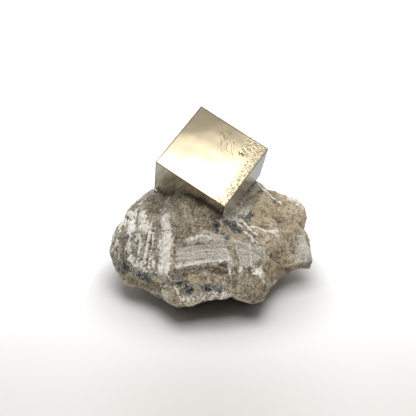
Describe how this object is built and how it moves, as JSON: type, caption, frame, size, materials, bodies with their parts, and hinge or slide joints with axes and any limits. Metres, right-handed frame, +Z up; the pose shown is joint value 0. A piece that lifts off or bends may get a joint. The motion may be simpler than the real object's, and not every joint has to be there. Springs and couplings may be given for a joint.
{
  "type": "pyrite specimen",
  "caption": "Blocky metallic pyrite crystal seated at a tilt in a broken lump of brown-grey marl that rests on three small flats.",
  "frame": {"origin": "on the surface the specimen stands on, under the middle of its bounding box", "axes": "+Z up, +X to the right as seen from the side the crystal leans towards, -Y towards that side"},
  "size_m": [0.0614, 0.0552, 0.0524],
  "materials": {
    "marl": "matte",
    "pyrite": "polished"
  },
  "bodies": {
    "root": {"marl_matrix": "marl", "pyrite_crystal": "pyrite"}
  },
  "joints": []
}
